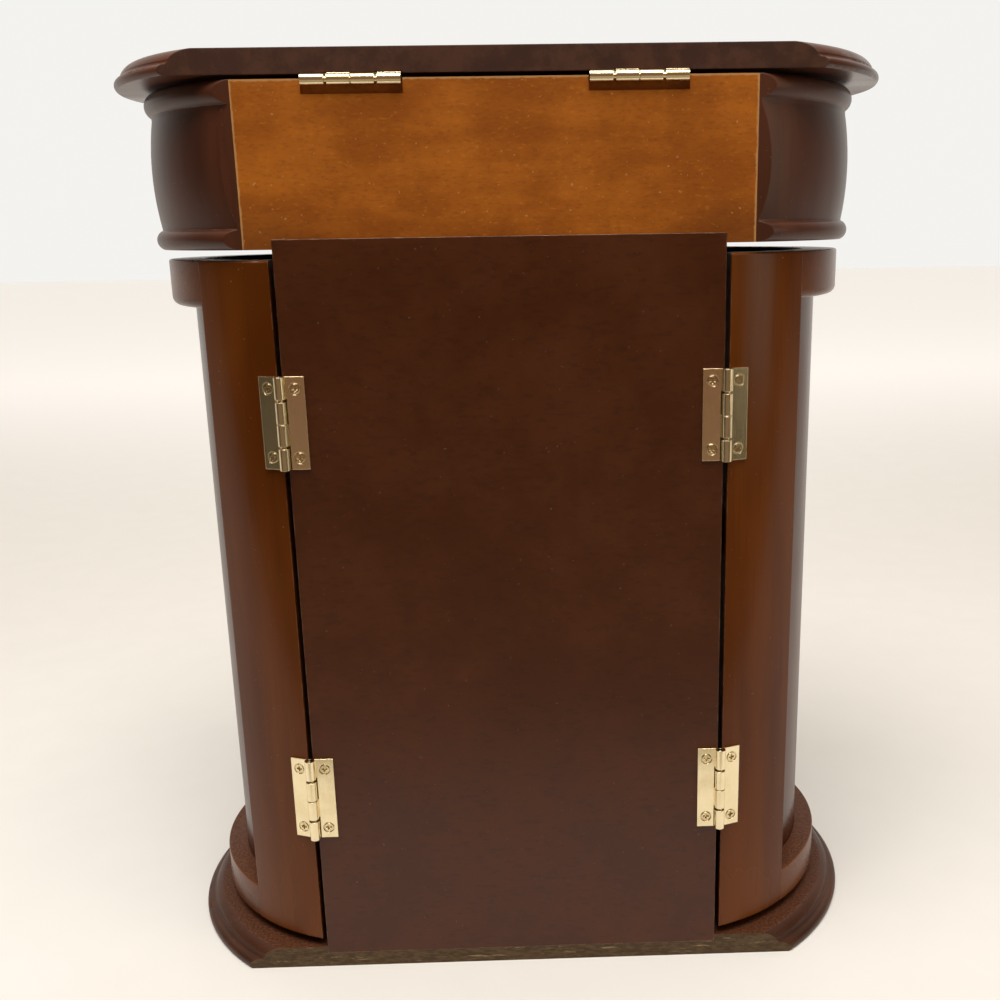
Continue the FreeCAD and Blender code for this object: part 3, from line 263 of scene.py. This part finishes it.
# Darker towards the two lower corners of the board: painted shade.
near_edge = ramp(tree, from_edge, 0.046, 0.001)
near_foot = ramp(tree, from_foot, 0.024, 0.001)
low_corner_shade = reckon(tree, "MULTIPLY", near_edge, near_foot)
stain = tint(tree, reckon(tree, "MULTIPLY", low_corner_shade, 0.55), stain, (0.10, 0.028, 0.0055, 1.0))
specks = ramp(tree, noise(tree, place, 620.0, 2.0), 0.71, 0.75, 0.0, 0.45)
stain = tint(tree, specks, stain, (0.62, 0.40, 0.18, 1.0))
# A pale ragged line along the board's sides and top: partly worn edge, partly a painted highlight.
ragged = reckon(tree, "MULTIPLY", reckon(tree, "SUBTRACT", noise(tree, place, 420.0, 3.0), 0.5), 0.0014)
nearest = reckon(tree, "ADD", reckon(tree, "MINIMUM", from_edge, from_top), ragged)
stain = tint(tree, ramp(tree, nearest, 0.0010, 0.0004, 0.0, 0.70), stain, (0.56, 0.31, 0.12, 1.0))
tree.links.new(stain, shader.inputs["Base Color"])
tree.links.new(ramp(tree, fleck, 0.3, 0.7, 0.40, 0.56), shader.inputs["Roughness"])
shader.inputs["Specular IOR Level"].default_value = 0.22
raised(tree, shader, fleck, 0.12, 0.0003)
dress(board_finish, "top_box_back")

# Tray lining
# A thin foam pad under short velvet pile, cut to the inside of the top box and glued to its floor.
# Its edge rolls over where the velvet is tucked under, and the foam lifts a little between.


def velvet(name, deep, ripe):
    """Short pile: dark seen straight on, pale at a glance, with brushed patches and fine fibre."""
    finish, tree, shader, place = new_finish(name)
    brushed = noise(tree, place, 55.0, 3.0, 0.6)
    fibre = noise(tree, place, 2600.0, 2.0)
    pile = tint(tree, ramp(tree, brushed, 0.35, 0.65), deep, ripe)
    pile = tint(tree, ramp(tree, fibre, 0.40, 0.70, 0.0, 0.5), pile, faded(deep, 0.45))
    tree.links.new(pile, shader.inputs["Base Color"])
    tree.links.new(ramp(tree, brushed, 0.3, 0.7, 0.78, 0.95), shader.inputs["Roughness"])
    raised(tree, shader, fibre, 0.5, 0.0003)
    shader.inputs["Sheen Weight"].default_value = 0.7
    shader.inputs["Sheen Roughness"].default_value = 0.35
    shader.inputs["Sheen Tint"].default_value = (0.85, 0.45, 0.45, 1.0)
    return finish


def puff(piece, held, limit, frames=20):
    """Swells a closed mesh as cloth over foam, caps how far each point moves and keeps the result."""
    rest = [corner.co.copy() for corner in piece.data.vertices]
    piece.vertex_groups.new(name="glued").add(held, 1.0, "REPLACE")
    cloth = piece.modifiers.new("swell", "CLOTH")
    cloth.settings.mass = 0.05
    cloth.settings.use_pressure = True
    cloth.settings.uniform_pressure_force = 4.0
    cloth.settings.effector_weights.gravity = 0.0
    cloth.settings.vertex_group_mass = "glued"
    cloth.point_cache.frame_end = frames
    scene = bpy.context.scene
    for moment in range(1, frames + 1):
        scene.frame_set(moment)
    swollen = piece.evaluated_get(bpy.context.evaluated_depsgraph_get()).data.vertices
    moves = [after.co - before for after, before in zip(swollen, rest)]
    piece.modifiers.remove(cloth)
    scene.frame_set(1)
    for corner, before, move in zip(piece.data.vertices, rest, moves):
        corner.co = before + move * min(1.0, limit / max(move.length, 1e-9))


def cut_pad(name, node, columns, rows, finish):
    """A pad cut to a lining's outline: a grid over its top and foot, with a rolled edge between them."""
    low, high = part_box(node)
    corners = [point.co.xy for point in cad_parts[node].data.vertices]
    outline = [corners[index] for index in geometry.convex_hull_2d(corners)]
    sides = list(zip(outline, outline[1:] + outline[:1]))

    def spread(start, end, count):
        """Stations from start to end, close together by both edges."""
        near = [0.00005, 0.0004, 0.001, 0.002]
        margin = near[-1]
        inner = [margin + (end - start - 2 * margin) * i / count for i in range(1, count)]
        return [start + way for way in near + inner] + [end - way for way in reversed(near)]

    def reach(x):
        """Where a line across the pad at x meets its outline."""
        met = [a.y + (b.y - a.y) * (x - a.x) / (b.x - a.x) for a, b in sides
               if min(a.x, b.x) <= x <= max(a.x, b.x) and abs(b.x - a.x) > 1e-9]
        return min(met), max(met)

    across = [[(x, y) for y in spread(*reach(x), rows)] for x in spread(low.x, high.x, columns)]
    long, wide = len(across), len(across[0])
    roll, thick = 0.0016, high.z - low.z
    points = []
    for level in ("foot", "top"):
        for column in across:
            for x, y in column:
                spot = Vector((x, y))
                inside = min((spot - geometry.intersect_point_line(spot, a, b)[0]).length for a, b in sides)
                turn = min(1.0, inside / roll)
                curl = math.sqrt(1.0 - (1.0 - turn) ** 2)
                rise = 0.55 + 0.41 * curl if level == "top" else 0.25 * (1.0 - curl)
                points.append((x, y, low.z + thick * rise))
    sheet = long * wide
    faces = []
    for i in range(long - 1):
        for j in range(wide - 1):
            cell = (i * wide + j, i * wide + j + 1, (i + 1) * wide + j + 1, (i + 1) * wide + j)
            faces.append(cell)
            faces.append(tuple(sheet + corner for corner in reversed(cell)))
    rim = [i * wide for i in range(long)] + [(long - 1) * wide + j for j in range(1, wide)]
    rim += [i * wide + wide - 1 for i in range(long - 2, -1, -1)] + list(range(wide - 2, 0, -1))
    for a, b in zip(rim, rim[1:] + rim[:1]):
        faces.append((a, b, sheet + b, sheet + a))
    surface = bpy.data.meshes.new(name)
    surface.from_pydata(points, [], faces)
    surface.materials.append(finish)
    pad = bpy.data.objects.new(name, surface)
    bpy.context.scene.collection.objects.link(pad)
    return pad, list(range(sheet))


def soften(piece, body, node):
    """The last touches on a soft piece, and what it stands for."""
    for face in piece.data.polygons:
        face.use_smooth = True
    smooth = piece.modifiers.new("smooth", "SUBSURF")
    smooth.levels = smooth.render_levels = 1
    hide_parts(node)
    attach(piece, body)


velvet_deep = (0.055, 0.006, 0.010, 1.0)
velvet_ripe = (0.115, 0.014, 0.020, 1.0)
tray_velvet = velvet("tray_velvet", velvet_deep, velvet_ripe)
tray_pad, glued = cut_pad("tray_lining_pad", "tray_lining", 56, 28, tray_velvet)
puff(tray_pad, glued, 0.0004)
soften(tray_pad, "chest", "tray_lining")

# Ring rolls
# Eight foam rolls wrapped in the same velvet, laid side by side across one tray to hold rings.
# Each roll is tucked in at its foot and swells between; they are all cut from one length.
low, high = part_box("ring_rolls")
roll_count = 8
pitch = (high.y - low.y) / roll_count
side_room, end_room = 0.0006, 0.0008
half_width = pitch / 2 - side_room
tall = high.z - low.z - end_room
sides, steps = 20, 46
rings = []
for step in range(steps + 1):
    along = low.x + end_room + (high.x - low.x - 2 * end_room) * step / steps
    to_end = min(step, steps - step) / 3
    full = math.sqrt(max(0.0, 1.0 - (1.0 - min(1.0, to_end)) ** 2)) * 0.85 + 0.15
    ring = []
    for side in range(sides):
        turn = 2 * math.pi * side / sides
        wide = math.copysign(abs(math.cos(turn)) ** 0.75, math.cos(turn)) * half_width * full
        rise = math.copysign(abs(math.sin(turn)) ** 0.75, math.sin(turn)) * tall / 2 * full
        ring.append((along, low.y + pitch / 2 + wide, low.z + tall / 2 + rise))
    rings.append(ring)
points = [spot for ring in rings for spot in ring]
faces = [(r * sides + i, r * sides + (i + 1) % sides, (r + 1) * sides + (i + 1) % sides, (r + 1) * sides + i)
         for r in range(steps) for i in range(sides)]
faces.append(tuple(reversed(range(sides))))
faces.append(tuple(range(steps * sides, (steps + 1) * sides)))
surface = bpy.data.meshes.new("ring_roll")
surface.from_pydata(points, [], faces)
roll = bpy.data.objects.new("ring_roll", surface)
bpy.context.scene.collection.objects.link(roll)
glue_line = low.z + 0.0015
puff(roll, [i for i, spot in enumerate(points) if spot[2] < glue_line], 0.0006)

row = bpy.data.node_groups.new("row_of_rolls", "GeometryNodeTree")
row_inputs = {"Geometry": "NodeSocketGeometry", "Rolls": "NodeSocketInt", "Pitch": "NodeSocketFloat",
              "Slackness": "NodeSocketFloat", "Velvet": "NodeSocketMaterial"}
for label, kind in row_inputs.items():
    row.interface.new_socket(label, in_out="INPUT", socket_type=kind)
row.interface.new_socket("Geometry", in_out="OUTPUT", socket_type="NodeSocketGeometry")
given = row.nodes.new("NodeGroupInput").outputs
apart = row.nodes.new("ShaderNodeCombineXYZ")
row.links.new(given["Pitch"], apart.inputs["Y"])
line = row.nodes.new("GeometryNodeMeshLine")
row.links.new(given["Rolls"], line.inputs["Count"])
row.links.new(apart.outputs["Vector"], line.inputs["Offset"])
laid = row.nodes.new("GeometryNodeInstanceOnPoints")
row.links.new(line.outputs["Mesh"], laid.inputs["Points"])
row.links.new(given["Geometry"], laid.inputs["Instance"])
whole = row.nodes.new("GeometryNodeRealizeInstances")
row.links.new(laid.outputs["Instances"], whole.inputs["Geometry"])
uneven = row.nodes.new("ShaderNodeTexNoise")
uneven.inputs["Scale"].default_value = 60.0
centred = row.nodes.new("ShaderNodeVectorMath")
centred.operation = "SUBTRACT"
centred.inputs[1].default_value = (0.5, 0.5, 0.5)
row.links.new(uneven.outputs["Color"], centred.inputs[0])
slack = row.nodes.new("ShaderNodeVectorMath")
slack.operation = "SCALE"
row.links.new(centred.outputs["Vector"], slack.inputs[0])
row.links.new(given["Slackness"], slack.inputs["Scale"])
moved = row.nodes.new("GeometryNodeSetPosition")
row.links.new(whole.outputs["Geometry"], moved.inputs["Geometry"])
row.links.new(slack.outputs["Vector"], moved.inputs["Offset"])
wrapped = row.nodes.new("GeometryNodeSetMaterial")
row.links.new(moved.outputs["Geometry"], wrapped.inputs["Geometry"])
row.links.new(given["Velvet"], wrapped.inputs["Material"])
row.links.new(wrapped.outputs["Geometry"], row.nodes.new("NodeGroupOutput").inputs["Geometry"])

laying = roll.modifiers.new("row", "NODES")
laying.node_group = row
settings = {"Rolls": roll_count, "Pitch": pitch, "Slackness": 0.0009, "Velvet": tray_velvet}
for socket in row.interface.items_tree:
    if socket.in_out == "INPUT" and socket.name in settings:
        laying[socket.identifier] = settings[socket.name]
bpy.context.view_layer.update()
rolls_mesh = bpy.data.meshes.new_from_object(roll.evaluated_get(bpy.context.evaluated_depsgraph_get()))
bpy.data.objects.remove(roll)
rolls = bpy.data.objects.new("ring_roll_cushions", rolls_mesh)
bpy.context.scene.collection.objects.link(rolls)
soften(rolls, "chest", "ring_rolls")

# Side doors
# Each door is a bent frame: two stiles and two rails cut to the round, with a thin bent panel in grooves.
# The stiles' grain stands upright, the rails' runs round; the lacquer is glossiest on the stiles.
stile_deep = (0.084, 0.0195, 0.0016, 1.0)
stile_ripe = (0.140, 0.0370, 0.0030, 1.0)
stile_finish = stained_wood("door_stile_stain", "Z", stile_deep, stile_ripe, wear_and_highlight=0.7, dull=0.23, gloss=0.18)
panel_stain = stained_wood("door_panel_stain", "Z", deep_stain, ripe_stain, wear_and_highlight=0.2)
rail_finish = stained_wood("door_rail_stain", "Y", stile_deep, stile_ripe, dull=0.25, gloss=0.20)
rail_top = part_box("door_left_bottom_rail")[1].z
bare_face(rail_finish, "Z", rail_top, rough_deep, rough_ripe, 900.0, 0.80)
for side in ("left", "right"):
    dress(stile_finish, f"door_{side}_back_stile", f"door_{side}_front_stile")
    dress(rail_finish, f"door_{side}_top_rail", f"door_{side}_bottom_rail")
    dress(panel_stain, f"door_{side}_panel")

# Hinges, screws, knobs and hooks
# Pressed steel hinges on wire pins, cross-slot countersunk screws, turned knobs and bent hooks.
# All plated pale brass: bright, finely brushed, with dull fingered patches.


def brass_plate(name, pale, dull):
    """Pale plated brass with brushed lines and fingered patches."""
    finish, tree, shader, place = new_finish(name)
    handled = noise(tree, place, 120.0, 4.0, 0.6)
    brushed = noise(tree, drawn_out(tree, place, "Z", 0.04), 2200.0, 2.0)
    plate = tint(tree, ramp(tree, handled, 0.35, 0.70), pale, dull)
    tree.links.new(plate, shader.inputs["Base Color"])
    worked = reckon(tree, "ADD", handled, brushed)
    tree.links.new(ramp(tree, worked, 0.6, 1.4, 0.14, 0.22), shader.inputs["Roughness"])
    raised(tree, shader, brushed, 0.03, 0.00005, eased(tree, 0.00035))
    shader.inputs["Metallic"].default_value = 1.0
    return finish


hinge_brass = brass_plate("hinge_brass", (0.88, 0.76, 0.50, 1.0), (0.82, 0.69, 0.43, 1.0))
screw_brass = brass_plate("screw_brass", (0.80, 0.67, 0.40, 1.0), (0.62, 0.49, 0.28, 1.0))
dress(hinge_brass, "door_hinge_fixed_leaves", "door_left_hinge_leaves", "door_right_hinge_leaves",
      "lid_hinge_fixed_leaves", "lid_hinge_moving_leaves")
dress(screw_brass, "door_hinge_fixed_screws", "door_left_hinge_screws", "door_right_hinge_screws",
      "door_hinge_pins", "lid_hinge_fixed_screws", "lid_hinge_moving_screws", "lid_hinge_pins")
for side in ("left", "right"):
    dress(hinge_brass, f"door_{side}_knob", f"door_{side}_necklace_hooks")

# Door catches
# A small moulded case with a magnet in it, screwed to each side wall behind the door's front stile.
case_finish, tree, shader, place = new_finish("catch_case")
grit = noise(tree, place, 1500.0, 2.0)
plastic = tint(tree, grit, (0.020, 0.012, 0.008, 1.0), (0.050, 0.030, 0.020, 1.0))
tree.links.new(plastic, shader.inputs["Base Color"])
tree.links.new(ramp(tree, grit, 0.3, 0.7, 0.42, 0.60), shader.inputs["Roughness"])
raised(tree, shader, grit, 0.2, 0.0002)
dress(case_finish, "door_catches")

# Drawers
# Four alike: a stained front screwed to a plain box of two sides, a back and a bottom, with a brass knob.
# A velvet-covered foam pad is laid loose in each box.
drawer_front_finish = stained_wood("drawer_front_stain", "X", deep_stain, ripe_stain, dull=0.27)
timber_deep = (0.25, 0.115, 0.046, 1.0)
timber_ripe = (0.43, 0.235, 0.108, 1.0)
drawer_timber = plain_wood("drawer_timber", "Y", timber_deep, timber_ripe)
depths = [point.co.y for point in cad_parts["drawer_1_box"].data.vertices]
for level in (max(depths), max(depth for depth in depths if depth < max(depths) - 0.002)):
    bare_face(drawer_timber, "Y", level, timber_deep, timber_ripe, 70.0, 1.0, 0.06)
drawer_velvet = velvet("drawer_velvet", velvet_deep, velvet_ripe)
for number in range(1, 5):
    drawer = f"drawer_{number}"
    dress(drawer_front_finish, f"{drawer}_front")
    dress(drawer_timber, f"{drawer}_box")
    dress(hinge_brass, f"{drawer}_knob")
    pad, glued = cut_pad(f"{drawer}_lining_pad", f"{drawer}_lining", 32, 30, drawer_velvet)
    puff(pad, glued, 0.0007)
    soften(pad, drawer, f"{drawer}_lining")

# Lid
# One board with the base's moulding on its bowed ends and front and a straight cut back, hung on two hinges.
# A plain mirror is held to its underside by a thin stained frame.
lid_finish = stained_wood("lid_stain", "X", deep_stain, ripe_stain, wear_and_highlight=0.5, dull=0.30)
lid_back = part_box("lid_board")[1].y
bare_face(lid_finish, "Y", lid_back, (0.038, 0.0120, 0.0055, 1.0), (0.072, 0.0265, 0.0130, 1.0), 90.0, 0.85)
dress(lid_finish, "lid_board")
dress(front_finish, "lid_mirror_frame")
mirror_finish, tree, shader, place = new_finish("mirror_silver")
haze = noise(tree, place, 40.0, 4.0)
silver = tint(tree, haze, (0.88, 0.90, 0.90, 1.0), (0.94, 0.95, 0.95, 1.0))
tree.links.new(silver, shader.inputs["Base Color"])
tree.links.new(ramp(tree, haze, 0.4, 0.7, 0.01, 0.05), shader.inputs["Roughness"])
shader.inputs["Metallic"].default_value = 1.0
dress(mirror_finish, "lid_mirror")

# Floor and light
# A pale floor that runs on under a pale sky, a broad soft light overhead and a tall one from one side.
# The sky is dimmer on the camera's side, so that upright faces stay deep in tone.
floor_finish, tree, shader, place = new_finish("floor_paper")
paper = noise(tree, place, 30.0, 4.0)
sheet = tint(tree, paper, (0.72, 0.71, 0.70, 1.0), (0.76, 0.75, 0.74, 1.0))
tree.links.new(sheet, shader.inputs["Base Color"])
shader.inputs["Roughness"].default_value = 0.8
shader.inputs["Specular IOR Level"].default_value = 0.2
depth = shader_node(tree, "ShaderNodeSeparateXYZ", {"Vector": place}).outputs["Y"]
# The floor glows, more strongly the further it runs off behind the chest: painted light that fades it into
# the sky.
shader.inputs["Emission Color"].default_value = (1.0, 0.99, 0.97, 1.0)
tree.links.new(ramp(tree, depth, -0.3, -2.2, 0.0, 0.46), shader.inputs["Emission Strength"])
reach, brink = 8.0, 0.28
floor_corners = [(-reach, -reach, 0), (reach, -reach, 0), (reach, brink, 0), (-reach, brink, 0)]
floor_mesh = bpy.data.meshes.new("floor")
floor_mesh.from_pydata(floor_corners, [], [(0, 1, 2, 3)])
floor_mesh.materials.append(floor_finish)
floor = bpy.data.objects.new("floor", floor_mesh)
bpy.context.scene.collection.objects.link(floor)

sky = bpy.data.worlds.new("sky")
sky.use_nodes = True
bpy.context.scene.world = sky
tree = sky.node_tree
heading = shader_node(tree, "ShaderNodeTexCoord").outputs["Generated"]
parts = shader_node(tree, "ShaderNodeSeparateXYZ", {"Vector": heading}).outputs
toward = ramp(tree, parts["Y"], -0.92, -0.10, 0.95, 0.08)
overhead = ramp(tree, parts["Z"], 0.40, 0.95, 0.0, 0.85)
near_camera = ramp(tree, parts["Y"], 0.66, 0.97, 0.0, 0.13)
camera_half = ramp(tree, parts["Y"], 0.2, 0.7)
underfoot = ramp(tree, parts["Z"], -0.18, -0.46, 0.0, 0.28)
below = reckon(tree, "MULTIPLY", camera_half, underfoot)
toward = reckon(tree, "ADD", reckon(tree, "ADD", toward, near_camera), below)
toward = reckon(tree, "MAXIMUM", toward, overhead)
seen = shader_node(tree, "ShaderNodeLightPath").outputs["Is Camera Ray"]
glow = tree.nodes["Background"]
warmth = tint(tree, ramp(tree, parts["Y"], -0.5, 0.3), (1.0, 0.95, 0.88, 1.0), (1.0, 0.80, 0.58, 1.0))
warmth = tint(tree, ramp(tree, parts["Y"], 0.88, 0.99), warmth, (1.0, 0.52, 0.34, 1.0))
warmth = tint(tree, ramp(tree, parts["Z"], -0.15, -0.40), warmth, (1.0, 0.86, 0.62, 1.0))
tree.links.new(tint(tree, seen, warmth, (1.0, 0.99, 0.96, 1.0)), glow.inputs["Color"])
level = shader_node(tree, "ShaderNodeMix", {0: seen, 2: toward, 3: 0.90}, data_type="FLOAT").outputs[0]
tree.links.new(level, glow.inputs["Strength"])


def soft_light(name, place, target, width, height, power, colour):
    """A soft rectangular lamp turned to a point."""
    lamp = bpy.data.lights.new(name, "AREA")
    lamp.shape = "RECTANGLE"
    lamp.size, lamp.size_y = width, height
    lamp.energy = power
    lamp.color = colour
    holder = bpy.data.objects.new(name, lamp)
    holder.location = place
    holder.rotation_euler = (Vector(target) - Vector(place)).to_track_quat("-Z", "Y").to_euler()
    bpy.context.scene.collection.objects.link(holder)


soft_light("overhead", (0.1, 0.60, 1.9), (0.0, 0.0, 0.2), 1.4, 1.0, 38.0, (1.0, 0.97, 0.92))
soft_light("side_window", (-1.5, 0.75, 0.55), (0.0, 0.0, 0.2), 0.5, 1.1, 3.5, (1.0, 0.88, 0.70))

# Camera
# Set close to the back of the chest and a little above its middle, as the photograph was taken.
yaw, pitch, roll_turn = (math.radians(angle) for angle in (1.476, 14.514, -0.911))
forward = Vector((-math.sin(yaw) * math.cos(pitch), -math.cos(yaw) * math.cos(pitch), -math.sin(pitch)))
level_right = forward.cross(Vector((0, 0, 1))).normalized()
upright = level_right.cross(forward)
right = level_right * math.cos(roll_turn) + upright * math.sin(roll_turn)
up = upright * math.cos(roll_turn) - level_right * math.sin(roll_turn)
lens = bpy.data.cameras.new("camera")
image_side = 1000.0
focal_pixels = 1116.25
axis_across, axis_down = 573.23, 516.92
film_width = 36.0
lens.sensor_width = film_width
lens.lens = film_width * focal_pixels / image_side
lens.shift_x = (image_side / 2 - axis_across) / image_side
lens.shift_y = (axis_down - image_side / 2) / image_side
lens.clip_start = 0.01
camera = bpy.data.objects.new("camera", lens)
camera.matrix_world = Matrix((right, up, -forward)).transposed().to_4x4()
camera.location = (-0.01519, 0.53493, 0.32801)
bpy.context.scene.collection.objects.link(camera)
bpy.context.scene.camera = camera
bpy.context.scene.view_settings.view_transform = "Standard"
